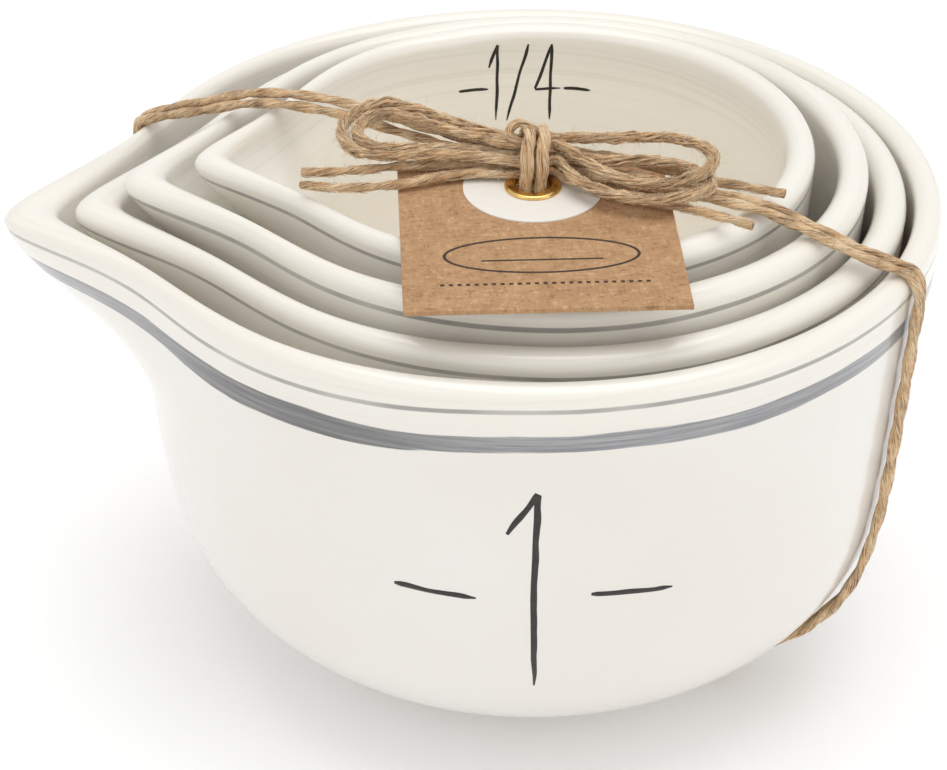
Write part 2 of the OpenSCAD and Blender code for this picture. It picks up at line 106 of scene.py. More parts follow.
# The tie's two strands' middle line with their roll about it: 0 is side by side, 90 is one
# above the other
LEFT_SPAN = [
    (-3.5, -11.65, 70.4, 90),
    (-9, -8.4, 70.6, 80),
    (-15.3, -3, 70.5, 70),
    (-21.6, 3.4, 70.1, 60),
    (-26, 7.2, 69.6, 50),
    (-30, 10.1, 68.9, 40),
    (-33.4, 12.1, 68, 35),
    (-36, 13.4, 67, 30),
    (-38.6, 14.8, 66, 25),
    (-41.5, 16.6, 64.8, 20),
    (-44, 18.7, 63.3, 10),
]
RIGHT_SPAN = [
    (35.6, -29, 63, 0),
    (33.8, -28.5, 63.6, 0),
    (31.6, -27.8, 64.5, 0),
    (29.2, -26.9, 65.5, 0),
    (27, -26, 66.5, 0),
    (24.2, -24.6, 67.5, 0),
    (21.5, -23.3, 68.4, 0),
    (15.3, -20.8, 69.2, 0),
    (10, -18.2, 69.5, 0),
    (5, -15.4, 69.6, 0),
    (0.2, -12.35, 69.7, 0),
]
# Distance along the tie's plane and height of each point of the wrap
WRAP = [
    (-52.8, 62.3),
    (-53.2, 61),
    (-53.5, 59),
    (-53, 55),
    (-51.3, 42),
    (-50.3, 30.2),
    (-48.8, 21.9),
    (-47.4, 17.8),
    (-45.8, 14.7),
    (-43.5, 11.6),
    (-41.4, 9.5),
    (-38.8, 7.4),
    (-35.6, 5.3),
    (-31.6, 3.2),
    (-27.2, 1.3),
    (-22.4, 0.85),
    (-4, 0.85),
    (15, 0.85),
    (19.8, 1.3),
    (24.2, 3.2),
    (28.2, 5.3),
    (31.4, 7.4),
    (34, 9.5),
    (36.1, 11.6),
    (38.4, 14.7),
    (40, 17.8),
    (41.4, 21.9),
    (42.9, 30.2),
    (43.8, 42),
    (44.5, 55),
    (44.7, 59),
    (44.4, 61),
    (43.4, 62.4),
]
LEFT_SPLITS = (6, 8, 9)
RIGHT_SPLITS = (1, 3, 5)

LOOP_LEFT_A = [
    (-3.5, -13, 72.5),
    (-8, -10.8, 72.8),
    (-12, -8.2, 73),
    (-15, -5.5, 73),
    (-16.8, -3.9, 72.8),
    (-18.7, -3.3, 72.5),
    (-20.5, -4.1, 72.1),
    (-21.3, -6, 71.7),
    (-20.5, -7.9, 71.4),
    (-18.6, -8.8, 71.2),
    (-15, -9.3, 71.1),
    (-12, -9.9, 71.2),
    (-8, -11, 71.2),
    (-3.5, -13, 71.1),
]
LOOP_LEFT_B = [
    (-3.5, -11.6, 72.5),
    (-8, -9.2, 72.9),
    (-12, -6.3, 73.3),
    (-14.8, -3.8, 73.4),
    (-17, -2.2, 73.3),
    (-19.4, -1.7, 72.9),
    (-21.8, -2.7, 72.3),
    (-22.9, -5, 71.8),
    (-22.6, -7.7, 71.3),
    (-20.8, -9.8, 71.1),
    (-17.8, -10.5, 71),
    (-15, -10.9, 71.1),
    (-12, -11.5, 71.2),
    (-8, -12.6, 71.2),
    (-3.5, -14.4, 71.1),
]
LOOP_RIGHT_A = [
    (0.2, -11.65, 72.5),
    (3.5, -13, 73),
    (7.5, -13.8, 73.1),
    (12.5, -14.2, 73),
    (15.6, -15.8, 72.8),
    (17, -18, 72.4),
    (16, -20.3, 71.9),
    (13.5, -21.6, 71.6),
    (10.5, -22.2, 71.5),
    (7.8, -21.6, 71.5),
    (5, -19.6, 71.8),
    (2.6, -16.6, 72.2),
    (0.2, -13, 72.5),
]
LOOP_RIGHT_B = [
    (0.2, -13, 71.1),
    (4.5, -15.2, 71.3),
    (8.6, -16.2, 71.3),
    (12, -16.8, 71.2),
    (14.4, -17.8, 70.9),
    (16.1, -19.6, 70.5),
    (15.9, -21.9, 70.5),
    (14, -23.5, 70.6),
    (11.4, -24.1, 70.7),
    (8.8, -24, 70.7),
    (6, -22.9, 70.6),
    (3.6, -20.9, 70.6),
    (1.6, -18.2, 70.8),
    (0.2, -14.4, 71.1),
]
TAIL_LEFT_A = [
    (-3.5, -13, 69.7),
    (-8, -11.8, 69.7),
    (-11, -11, 69.7),
    (-14.5, -10.6, 69.6),
    (-18, -10.3, 69.5),
    (-22.5, -10.2, 69.3),
    (-28, -9.6, 69.1),
]
TAIL_LEFT_B = [
    (-3.5, -14.35, 69.7),
    (-8, -13.4, 69.6),
    (-12.7, -13.4, 69.5),
    (-18.5, -14.4, 69.4),
    (-24, -13.9, 69.2),
    (-28.3, -12.2, 69),
]
TAIL_RIGHT_A = [
    (0.2, -11.65, 71.1),
    (4, -12.8, 70.9),
    (7.5, -14.2, 70.7),
    (10.5, -15.4, 70.2),
    (13.7, -17.1, 69.7),
    (17.2, -18.4, 69.3),
    (21, -19.8, 69),
    (24.6, -21.6, 68.9),
]
TAIL_RIGHT_B = [
    (0.2, -14.4, 69.7),
    (1, -15.9, 69.6),
    (2.6, -17.6, 69.6),
    (5.2, -19.4, 69.5),
    (9, -21.7, 69.4),
    (13, -24.1, 69.3),
    (16.3, -26.6, 69.3),
    (19.2, -28.8, 69.3),
]
# Closed loop through the eyelet and over the knot. Behind and under the tag it runs wider than
# in the part's source, to stay clear of the back paper ring when the tag turns
TAG_LOOP = [
    (-2.7, -15.7, 67.4),
    (-2.7, -15.7, 69.4),
    (-2.6, -15.9, 71.2),
    (-2.4, -15.5, 72.8),
    (-2.1, -14.1, 73.6),
    (-1.9, -12.3, 73.7),
    (-1.8, -10.5, 72.9),
    (-1.8, -9.7, 71.3),
    (-1.9, -7.5, 70),
    (-2, -6.4, 68.6),
    (-2.1, -6.8, 67),
    (-2.3, -9, 66.1),
    (-2.5, -12, 65.9),
    (-2.6, -14.4, 66.2),
]
# What joins the spans and the loops inside the knot
KNOT_PASSES = [
    [(-4.2, -11.5, 71.1), (-1.65, -11.8, 70.5), (0.9, -11.9, 69.7)],
    [(-4.2, -11.4, 69.7), (-1.65, -12.3, 69.6), (0.9, -13.3, 69.7)],
    [(-4.2, -12.8, 72.5), (-1.65, -12.9, 72.2), (0.9, -13.2, 71.1)],
    [(-4.2, -11.4, 72.6), (-1.65, -11.6, 72.7), (0.9, -11.9, 72.6)],
]
# Small bight left standing at the knot's top
KNOT_BIGHT = [
    (-1.2, -12.2, 72.9),
    (-2.2, -11.9, 73.9),
    (-3.6, -11.7, 74.5),
    (-4.7, -11.9, 74.2),
    (-4.9, -12.5, 73.5),
    (-4.1, -13.1, 73),
    (-2.9, -13.4, 72.8),
]

# ---- camera ----

CAMERA_TARGET = place(-7, 1, 32.2)
CAMERA_BEARING = -98.1
CAMERA_ELEVATION = 32.8
CAMERA_DISTANCE = 0.312
CAMERA_LENS = 95.3


def make_camera():
    data = bpy.data.cameras.new("camera")
    data.lens = CAMERA_LENS
    data.clip_start = 0.01
    camera = bpy.data.objects.new("camera", data)
    bpy.context.scene.collection.objects.link(camera)
    bearing = math.radians(CAMERA_BEARING)
    elevation = math.radians(CAMERA_ELEVATION)
    outwards = Vector((
        math.cos(elevation) * math.cos(bearing),
        math.cos(elevation) * math.sin(bearing),
        math.sin(elevation),
    ))
    camera.location = CAMERA_TARGET + outwards * CAMERA_DISTANCE
    camera.rotation_euler = (-outwards).to_track_quat("-Z", "Y").to_euler()
    bpy.context.scene.camera = camera


# ---- node helpers ----


class Shader:
    """A material's node tree, with short calls to add nodes to it."""

    def __init__(self, name):
        self.material = bpy.data.materials.new(name)
        self.material.use_nodes = True
        self.tree = self.material.node_tree
        self.surface = self.tree.nodes["Principled BSDF"]

    def node(self, kind, settings=None, **inputs):
        added = self.tree.nodes.new(kind)
        for key, value in (settings or {}).items():
            setattr(added, key, value)
        for key, value in inputs.items():
            self.feed(added, key.replace("_", " "), value)
        return added

    def feed(self, node, socket, value):
        target = node.inputs[int(socket)] if socket.isdigit() else node.inputs[socket]
        if isinstance(value, bpy.types.NodeSocket):
            self.tree.links.new(value, target)
        else:
            target.default_value = value

    def math(self, operation, first, second=0.0, clamp=False):
        added = self.node("ShaderNodeMath", {"operation": operation, "use_clamp": clamp})
        self.feed(added, "0", first)
        self.feed(added, "1", second)
        return added.outputs[0]

    def position(self):
        return self.node("ShaderNodeTexCoord").outputs["Object"]

    def attribute(self, name):
        return self.node("ShaderNodeAttribute", {"attribute_name": name})

    def noise(self, vector, scale, detail=2.0, roughness=0.5):
        added = self.node("ShaderNodeTexNoise", Scale=scale, Detail=detail, Roughness=roughness)
        self.feed(added, "Vector", vector)
        return added.outputs["Fac"]

    def stretched(self, vector, scale):
        added = self.node("ShaderNodeMapping", Scale=scale)
        self.feed(added, "Vector", vector)
        return added.outputs["Vector"]

    def ramp(self, value, low, high, to_low=0.0, to_high=1.0):
        added = self.node("ShaderNodeMapRange", {"interpolation_type": "SMOOTHSTEP"})
        self.feed(added, "Value", value)
        self.feed(added, "From Min", low)
        self.feed(added, "From Max", high)
        self.feed(added, "To Min", to_low)
        self.feed(added, "To Max", to_high)
        return added.outputs["Result"]

    def mix(self, amount, first, second, blend="MIX"):
        added = self.node("ShaderNodeMix", {"data_type": "RGBA", "blend_type": blend})
        self.feed(added, "0", amount)
        for index, value in (("6", first), ("7", second)):
            linked = isinstance(value, bpy.types.NodeSocket)
            self.feed(added, index, value if linked else (*value, 1))
        return added.outputs[2]

    def distance(self, vector, point):
        added = self.node("ShaderNodeVectorMath", {"operation": "DISTANCE"})
        self.feed(added, "0", vector)
        self.feed(added, "1", point)
        return added.outputs["Value"]

    def bump(self, height, strength, distance, normal=None):
        added = self.node("ShaderNodeBump", Strength=strength, Distance=distance)
        self.feed(added, "Height", height)
        if normal is not None:
            self.feed(added, "Normal", normal)
        return added.outputs["Normal"]

    def set(self, **values):
        for key, value in values.items():
            self.feed(self.surface, key.replace("_", " "), value)
        return self.material


def srgb(red, green, blue):
    """Linear colour of an 8-bit display colour."""
    parts = []
    for value in (red, green, blue):
        share = value / 255
        parts.append(share / 12.92 if share <= 0.04045 else ((share + 0.055) / 1.055) ** 2.4)
    return tuple(parts)


# ---- materials ----

CREAM = srgb(232, 229, 223)
CREAM_WARM = srgb(229, 224, 215)
# Glaze colour for the inside of the cups, brighter and warmer than the outside: painted light for
# the light that bounces round inside the bowls
CREAM_INSIDE_PAINTED_LIGHT = srgb(253, 248, 237)
CREAM_RIM = srgb(237, 233, 223)
CREAM_STREAK = srgb(222, 216, 204)
LINE_GREY = srgb(142, 141, 136)
BAND_GREY = srgb(126, 127, 131)
BAND_PALE = srgb(156, 156, 158)
# The biggest cup's lines dip a little beside its beak
LINES_DIP = (-34, -33, 50)
LINES_DIP_DEPTH = 1.2
BAND_SWELL = 0.45
# Where the end of the band's brush stroke covers its start
OVERLAP_RADIUS = 47.3
OVERLAP_TURN = math.radians(-35)
OVERLAP_HEIGHT = 55.8
BAND_OVERLAP = (
    OVERLAP_RADIUS * math.cos(OVERLAP_TURN),
    OVERLAP_RADIUS * math.sin(OVERLAP_TURN),
    OVERLAP_HEIGHT,
)


def ceramic(name, cup):
    """Cream glaze over a hand-thrown body, with the cup's painted lines under the glaze, and
    painted light that makes the glaze brighter and warmer inside the bowl.
    """
    shader = Shader(name)
    position = shader.position()
    clouds = shader.noise(position, 28, 3)
    colour = shader.mix(shader.ramp(clouds, 0.3, 0.75), CREAM, CREAM_WARM)
    drop = shader.attribute("drop").outputs["Fac"]
    # Painted light: inside the bowl the glaze takes the brighter, warmer inside colour
    colour = shader.mix(shader.ramp(drop, -6, -0.5, 1, 0), colour, CREAM_INSIDE_PAINTED_LIGHT)
    from_rim = shader.math("ABSOLUTE", drop)
    colour = shader.mix(shader.ramp(from_rim, 1, 10, 0.85, 0), colour, CREAM_RIM)
    level = shader.node("ShaderNodeCombineXYZ")
    shader.feed(level, "0", shader.math("MULTIPLY", drop, 0.025))
    around = shader.node("ShaderNodeVectorMath", {"operation": "ADD"})
    shader.feed(around, "0", position)
    shader.feed(around, "1", level.outputs["Vector"])
    throwing = shader.noise(shader.stretched(around.outputs["Vector"], (60, 16, 16)), 1, 3, 0.6)
    streaked = shader.ramp(throwing, 0.5, 0.68)
    streaked = shader.math("MULTIPLY", streaked, shader.ramp(from_rim, 4, 10, 0.35, 0.06))
    colour = shader.mix(streaked, colour, CREAM_STREAK)
    wander = shader.math("SUBTRACT", shader.noise(position, 38, 2), 0.5)
    bristles = shader.noise(shader.stretched(position, (60, 60, 2400)), 1, 4, 0.7)
    beside = shader.distance(position, place(*LINES_DIP))
    dip = shader.ramp(beside, 8 * MM, 34 * MM, LINES_DIP_DEPTH, 0)
    swell = shader.ramp(beside, 5 * MM, 22 * MM, BAND_SWELL, 0)
    for distance, width, blue in cup.lines:
        shifted = shader.math("ADD", drop, shader.math("MULTIPLY", wander, 0.5 + 0.9 * blue))
        if cup.body == "full":
            shifted = shader.math("SUBTRACT", shifted, dip)
        off_centre = shader.math("ABSOLUTE", shader.math("SUBTRACT", shifted, distance))
        uneven = shader.math("MULTIPLY", shader.math("SUBTRACT", bristles, 0.5), 0.3 * width)
        edge = shader.math("ADD", off_centre, uneven)
        if blue:
            edge = shader.math("SUBTRACT", edge, swell)
        mask = shader.ramp(edge, width / 2 - 0.07, width / 2 + 0.11, 1, 0)
        if blue:
            paint = shader.mix(shader.ramp(bristles, 0.35, 0.7), BAND_GREY, BAND_PALE)
            reach = shader.distance(position, place(*BAND_OVERLAP))
            overlap = shader.ramp(reach, 0.8 * MM, 1.6 * MM, 0.55, 0)
            paint = shader.mix(overlap, paint, LINE_GREY, "MULTIPLY")
            paint = shader.mix(shader.math("MULTIPLY", dip, 0.6), paint, LINE_GREY, "MULTIPLY")
            cover = shader.math("MULTIPLY", mask, shader.ramp(bristles, 0.3, 0.8, 1, 0.86))
        else:
            paint = LINE_GREY
            thin = shader.noise(position, 120, 2)
            cover = shader.math("MULTIPLY", mask, shader.ramp(thin, 0.3, 0.7, 0.9, 0.6))
        colour = shader.mix(cover, colour, paint)
    rings = shader.noise(shader.stretched(position, (14, 14, 520)), 1, 2)
    dimples = shader.noise(position, 520, 2)
    normal = shader.bump(rings, 0.22, 0.25 * MM)
    normal = shader.bump(dimples, 0.16, 0.12 * MM, normal)
    return shader.set(
        Base_Color=colour,
        Roughness=0.28,
        Coat_Weight=0.6,
        Coat_Roughness=0.1,
        Subsurface_Weight=0.06,
        Subsurface_Scale=0.004,
        Normal=normal,
    )


def bare_foot():
    """Unglazed clay on the ring that the cup stands on."""
    shader = Shader("bare_clay")
    position = shader.position()
    grains = shader.noise(position, 1800, 3)
    colour = shader.mix(grains, srgb(214, 202, 182), srgb(232, 223, 206))
    return shader.set(
        Base_Color=colour, Roughness=0.85, Normal=shader.bump(grains, 0.4, 0.08 * MM)
    )


def black_paint():
    """Thin brushed black under the glaze."""
    shader = Shader("black_paint")
    grain = shader.noise(shader.position(), 900, 3)
    colour = shader.mix(shader.ramp(grain, 0.35, 0.75), srgb(18, 13, 8), srgb(40, 31, 22))
    return shader.set(Base_Color=colour, Roughness=0.4, Coat_Weight=0.15, Coat_Roughness=0.2)


def jute(name, light, middle, dark_and_groove_shade):
    """Plied plant fibre: streaks that run along each ply, a dry surface and a soft sheen. The
    colour is partly the fibre's own and partly painted light: darkest in the bump's grooves as
    painted shade, palest on its raised threads as painted highlight.
    """
    shader = Shader(name)
    along = shader.attribute("fibre").outputs["Vector"]
    tone = shader.attribute("tone").outputs["Fac"]
    streaks = shader.noise(shader.stretched(along, (0.35, 6, 6)), 1, 4, 0.7)
    threads = shader.noise(shader.stretched(along, (0.8, 11, 11)), 1, 3, 0.75)
    patches = shader.noise(shader.position(), 330, 3)
    # Dark streaks sit where the bump below is lowest: partly fibre colour, partly painted shade in
    # the grooves between fibres
    colour = shader.mix(shader.ramp(streaks, 0.38, 0.54), dark_and_groove_shade, middle)
    # Pale threads sit where the bump is highest: partly fibre colour, partly painted highlight
    pale_and_highlight = shader.ramp(threads, 0.42, 0.62)
    pale_and_highlight = shader.math("MULTIPLY", pale_and_highlight, shader.ramp(tone, 0, 1, 0.4, 1))
    colour = shader.mix(pale_and_highlight, colour, light)
    colour = shader.mix(shader.ramp(patches, 0.25, 0.55, 0.4, 0), colour, dark_and_groove_shade)
    colour = shader.mix(shader.ramp(patches, 0.5, 0.75, 0, 0.5), colour, light)
    colour = shader.mix(shader.ramp(tone, 1, 2, 0, 0.9), colour, light)
    height = shader.math("ADD", streaks, shader.math("MULTIPLY", threads, 0.7))
    return shader.set(
        Base_Color=colour,
        Roughness=0.78,
        Sheen_Weight=0.1,
        Sheen_Roughness=0.5,
        Normal=shader.bump(height, 1.0, 0.2 * MM),
    )


def kraft(name):
    """Brown card: pressed fibres, faint mottling and a dry face."""
    shader = Shader(name)
    position = shader.position()
    mottle = shader.noise(position, 420, 5, 0.7)
    flecks = shader.noise(shader.stretched(position, (900, 2600, 900)), 1, 3, 0.7)
    crossed = shader.noise(shader.stretched(position, (2600, 900, 900)), 1, 3, 0.7)
    fibres = shader.math("MULTIPLY", shader.math("ADD", flecks, crossed), 0.5)
    colour = shader.mix(shader.ramp(mottle, 0.3, 0.7), srgb(166, 126, 88), srgb(182, 144, 104))
    colour = shader.mix(shader.ramp(fibres, 0.46, 0.38, 0, 0.6), colour, srgb(124, 86, 56))
    colour = shader.mix(shader.ramp(fibres, 0.53, 0.62, 0, 0.5), colour, srgb(210, 176, 136))
    return shader.set(
        Base_Color=colour, Roughness=0.82, Normal=shader.bump(fibres, 0.35, 0.06 * MM)
    )


def white_paper_painted_shade():
    shader = Shader("white_paper_painted_shade")
    fibres = shader.noise(shader.position(), 1500, 4, 0.6)
    # Greyer than white paper: painted shade on the paper rings round the eyelet, over their faint
    # fibre mottling
    colour = shader.mix(fibres, srgb(224, 219, 210), srgb(234, 230, 222))
    return shader.set(
        Base_Color=colour, Roughness=0.55, Normal=shader.bump(fibres, 0.15, 0.03 * MM)
    )


def brass():
    """Pressed brass with fine drawing marks."""
    shader = Shader("brass")
    marks = shader.noise(shader.position(), 2600, 3)
    colour = shader.mix(marks, srgb(222, 180, 104), srgb(244, 208, 140))
    return shader.set(
        Base_Color=colour,
        Metallic=1.0,
        Roughness=shader.ramp(marks, 0.3, 0.7, 0.16, 0.28),
        Normal=shader.bump(marks, 0.08, 0.02 * MM),
    )


def tag_ink():
    shader = Shader("tag_ink")
    grain = shader.noise(shader.position(), 2200, 3)
    colour = shader.mix(shader.ramp(grain, 0.4, 0.8), srgb(52, 40, 30), srgb(80, 60, 44))
    return shader.set(Base_Color=colour, Roughness=0.8)


def floor_paper():
    shader = Shader("floor")
    grain = shader.noise(shader.position(), 40, 2)
    colour = shader.mix(grain, (0.9, 0.9, 0.9), (0.92, 0.92, 0.92))
    return shader.set(
        Base_Color=colour,
        Roughness=0.9,
        Specular_IOR_Level=0.1,
        Emission_Color=(1, 1, 1, 1),
        Emission_Strength=0.1,
    )


# ---- meshes ----


class Mesh:
    """Vertices in metres, faces and one value per vertex for each named attribute."""

    def __init__(self):
        self.points = []
        self.faces = []
        self.slots = []
        self.values = {}

    def add(self, point, **values):
        self.points.append(point)
        for key, value in values.items():
            self.values.setdefault(key, {})[len(self.points) - 1] = value
        return len(self.points) - 1

    def face(self, corners, slot=0):
        self.faces.append(corners)
        self.slots.append(slot)

    def skin(self, rings, closed=True, slot=0):
        """Quads between rings of the same length; closed rings join their last point and first."""
        for low, high in zip(rings, rings[1:]):
            count = len(low)
            for i in range(count if closed else count - 1):
                k = (i + 1) % count
                self.face((low[i], low[k], high[k], high[i]), slot)

    def object(self, name, materials, smooth=True):
        data = bpy.data.meshes.new(name)
        data.from_pydata(self.points, [], self.faces)
        data.update()
        for key, given in self.values.items():
            wide = isinstance(next(iter(given.values())), (tuple, Vector))
            kind = "FLOAT_VECTOR" if wide else "FLOAT"
            layer = data.attributes.new(key, kind, "POINT")
            for index, value in given.items():
                if wide:
                    layer.data[index].vector = value
                else:
                    layer.data[index].value = value
        for material in materials:
            data.materials.append(material)
        for polygon, slot in zip(data.polygons, self.slots):
            polygon.use_smooth = smooth
            polygon.material_index = slot
        made = bpy.data.objects.new(name, data)
        bpy.context.scene.collection.objects.link(made)
        return made


def ease(t):
    u = min(1, max(0, t))
    return u * u * (3 - 2 * u)


# ---- cups ----

CUP_SIDES = 208
CUP_CROWDING = 18
OUTSIDE_ROWS = 52
LIP_ROWS = 10
INSIDE_ROWS = 44
THROWN_UNEVENNESS = 0.07
# The foot is turned true below this height
TRUE_FOOT_HEIGHT = 2.5
CUP_SEEDS = {"full_cup": 0, "half_cup": 3, "third_cup": 6, "quarter_cup": 9}


def bowl(z, low, high, start, rim, flare):
    t = min(1, max(0, (z - low) / (high - low)))
    return start + (rim - flare - start) * (1 - (1 - t) ** BOWL_POWER) + flare * t


def beak(angle, radius, reach, blunt, slope, fillet):
    """How far the beak stands out of a circle, at an angle from the beak's middle."""
    apex = reach + blunt
    cosine = math.cos(math.radians(angle))
    sine = math.sin(math.radians(angle))
    a = (cosine * slope) ** 2 - sine**2
    b = apex * cosine * slope**2
    q = (apex**2 - blunt**2) * slope**2
    flank = q / (b + math.sqrt(max(b * b - a * q, 0)))
    out = flank - radius
    window = 1 - ease((angle - BEAK_SPAN) / BEAK_FADE_SPAN)
    return window * (out + math.sqrt(out * out + fillet * fillet)) / 2


def from_beak(bearing):
    """Angle between a bearing and the beak's middle at 180."""
    return abs(bearing % 360 - 180)


def skin_radius(cup, skin, rim, reach, bearing, z):
    r = cup.radius
    out = beak(from_beak(bearing), rim, reach * r, skin.blunt * r, skin.slope, skin.fillet * r)
    fade = skin.depth * r
    wall = bowl(z, skin.low, cup.height, skin.start * r, rim, skin.flare * r)
    return wall + out * ease((z - cup.height + fade) / fade)


def outer_radius(cup, bearing, z):
    return skin_radius(cup, OUTSIDE, cup.radius, cup.reach, bearing, z)


def inner_radius(cup, bearing, z):
    return skin_radius(cup, INSIDE, cup.radius - cup.wall, cup.inner_reach, bearing, z)


def on_cup(cup, bearing, radius, z):
    turn = math.radians(bearing)
    return place(
        cup.shift + radius * math.cos(turn), radius * math.sin(turn), cup.base + z
    )


def side_bearings():
    bearings = []
    for i in range(CUP_SIDES):
        u = 360 * i / CUP_SIDES
        bearings.append(180 + u - CUP_CROWDING * math.sin(math.radians(u)))
    return bearings


def unevenness(bearing, z, seed):
    turn = math.radians(bearing)
    return THROWN_UNEVENNESS * noise.noise(
        Vector((1.6 * math.cos(turn), 1.6 * math.sin(turn), z / 16 + seed))
    )


def cup_profile(cup):
    """Rows of (radius at a bearing, height, distance below the rim, slot), from the foot's
    recess up the outside, over the rim and down to the floor. The distance is negative
    inside the cup."""
    foot = FOOT_SHARE * cup.radius
    recess = RECESS_SHARE * cup.radius
    floor = FLOOR_SHARE * cup.radius
    lip = cup.wall / 2
    side = cup.height - lip
    rows = []
    for radius, z in (
        (recess * 0.5, RECESS_HEIGHT), (recess - 0.4, RECESS_HEIGHT), (recess, RECESS_HEIGHT - 0.4),
        (recess, 0.35), (recess + 0.35, 0), (foot - 0.5, 0), (foot - 0.12, 0.12), (foot, 0.5),
    ):
        rows.append((lambda bearing, r=radius: r, z, cup.height - z, 1))
    for i in range(OUTSIDE_ROWS):
        z = FOOT_HEIGHT + (side - FOOT_HEIGHT) * (i / OUTSIDE_ROWS) ** 1.35
        rows.append((lambda bearing, z=z: outer_radius(cup, bearing, z), z, cup.height - z, 0))
    for i in range(LIP_ROWS + 1):
        turn = math.pi * i / LIP_ROWS
        z = side + lip * math.sin(turn)

        def over_rim(bearing, turn=turn):
            outer = outer_radius(cup, bearing, side)
            inner = inner_radius(cup, bearing, side)
            return (outer + inner) / 2 + (outer - inner) / 2 * math.cos(turn)

        below = (cup.height - z) * (1 if i <= LIP_ROWS / 2 else -1)
        rows.append((over_rim, z, below, 0))
    for i in range(INSIDE_ROWS - 1, -1, -1):
        z = FLOOR_HEIGHT + (side - FLOOR_HEIGHT) * (i / INSIDE_ROWS) ** 1.5
        raised = z + floor_rise(cup, inner_radius(cup, BACK_BEARING, z))
        rows.append((
            lambda bearing, z=z: inner_radius(cup, bearing, z), raised, z - cup.height, 0
        ))
    for share in (0.96, 0.91, 0.86, 0.8, 0.73, 0.65, 0.5, 0.25):
        raised = FLOOR_HEIGHT + floor_rise(cup, share * floor)
        rows.append((lambda bearing, r=share * floor: r, raised, -cup.height, 0))
    return rows


def floor_rise(cup, radius):
    """How far the smallest cup's floor is lifted where it curves up into the wall. The other
    floors are hidden, and stay flat under the next cup's foot."""
    if cup.body != "quarter":
        return 0
    near = max(0, FLOOR_FILLET - abs(radius - FLOOR_SHARE * cup.radius))
    return WALL_SLOPE * near * near / (4 * FLOOR_FILLET)


def notched(point):
    """A point of the full cup, lifted clear of the twine that passes under the foot."""
    turn = math.radians(TIE_BEARING)
    off_line = (point - place(*TIE_MIDDLE, 0)).dot(Vector((-math.sin(turn), math.cos(turn), 0)))
    if point.z < SLOT_HEIGHT * MM and abs(off_line) < SLOT_WIDTH / 2 * MM:
        point.z = SLOT_HEIGHT * MM
    return point


def make_cup(name, cup, seed):
    mesh = Mesh()
    bearings = side_bearings()
    rows = cup_profile(cup)
    rings = []
    for radius_at, z, below, _ in rows:
        ring = []
        for bearing in bearings:
            radius = radius_at(bearing)
            if z >= TRUE_FOOT_HEIGHT:
                radius += unevenness(bearing, z, seed)
            point = on_cup(cup, bearing, radius, z)
            if name == "full_cup":
                point = notched(point)
            ring.append(mesh.add(point, drop=float(below)))
        rings.append(ring)
    for (low, high), (_, _, _, slot) in zip(zip(rings, rings[1:]), rows):
        mesh.skin([low, high], slot=slot)
    for ring, z, below, slot, order in (
        (rings[0], RECESS_HEIGHT, cup.height, 1, -1),
        (rings[-1], FLOOR_HEIGHT, -cup.height, 0, 1),
    ):
        middle = mesh.add(on_cup(cup, 0, 0, z), drop=float(below))
        for i in range(CUP_SIDES):
            mesh.face((ring[i], ring[(i + order) % CUP_SIDES], middle), slot)
    made = mesh.object(name + "_body", [ceramic(name + "_glaze", cup), clay])
    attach(made, cup.body)
    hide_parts(name)


# ---- painted marks ----

STROKE_STEP = 0.35
STROKE_RISE = 0.05


def stroke(mesh, surface, route, width, seed):
    """A brushed line over a surface: surface turns a route's two numbers and a sideways shift
    and a height, all in millimetres, into a place."""
    length = sum(math.dist(p, q) for p, q in zip(route, route[1:]))
    count = max(4, round(length / STROKE_STEP))
    dense = resample([Vector((*p, 0)) for p in route], length / count)
    rings = []
    for i, point in enumerate(dense):
        before = dense[max(i - 1, 0)]
        after = dense[min(i + 1, len(dense) - 1)]
        along = (after - before).normalized()
        aside = Vector((-along.y, along.x, 0))
        share = i / (len(dense) - 1)
        taper = min(1, 0.55 + 6 * share, 0.35 + 5 * (1 - share))
        sway = noise.noise(Vector((i * STROKE_STEP * 0.35, seed, 0)))
        half = width / 2 * taper * (1 + 0.22 * sway)
        ring = []
        for across, rise in ((-1, -0.02), (-0.75, 0.6), (0, 1), (0.75, 0.6), (1, -0.02)):
            spot = point + aside * (across * half) + aside * (0.12 * sway)
            ring.append(mesh.add(surface(spot.x, spot.y, STROKE_RISE * rise)))
        rings.append(ring)
    mesh.skin(rings, closed=False)


def surface_of(cup, centre_bearing, seed, side):
    """Surface for strokes on a cup's outside, for a side of 1, or inside, for -1: x runs to the
    right as the mark is read, from a bearing, and y is height, in millimetres."""
    radius = cup.radius if side > 0 else cup.radius - cup.wall
    radius_at = outer_radius if side > 0 else inner_radius

    def surface(x, y, rise):
        bearing = centre_bearing + side * math.degrees(x / radius)
        wall = radius_at(cup, bearing % 360, y) + unevenness(bearing, y, seed)
        return on_cup(cup, bearing, wall + side * rise, y)

    return surface


# Plain measure marks: each stroke is points of (right, up) from the mark's middle
FULL_MARK = [
    ([(-3, 9), (0.3, 14.5), (0, 0), (0.3, -14)], 0.75),
    ([(-16, 0.2), (-6.5, -0.3)], 0.7),
    ([(6.5, 0.4), (16, -0.1)], 0.7),
]
QUARTER_MARK = [
    ([(-4.6, 2.3), (-3.4, 5.4), (-3.7, -5)], 0.42),
    ([(0.5, 5.2), (-2.3, -5.2)], 0.4),
    ([(3.5, 5.2), (1.4, -1), (4.7, -0.8)], 0.4),
    ([(3.5, 5.2), (3.3, -5.2)], 0.42),
    ([(-8.7, -0.4), (-4.7, -0.6)], 0.42),
    ([(5.1, -0.8), (8.6, -0.8)], 0.42),
]
FULL_MARK_BEARING = -98.8
FULL_MARK_HEIGHT = 34.5
QUARTER_MARK_BEARING = 86.2
QUARTER_MARK_HEIGHT = 36.3


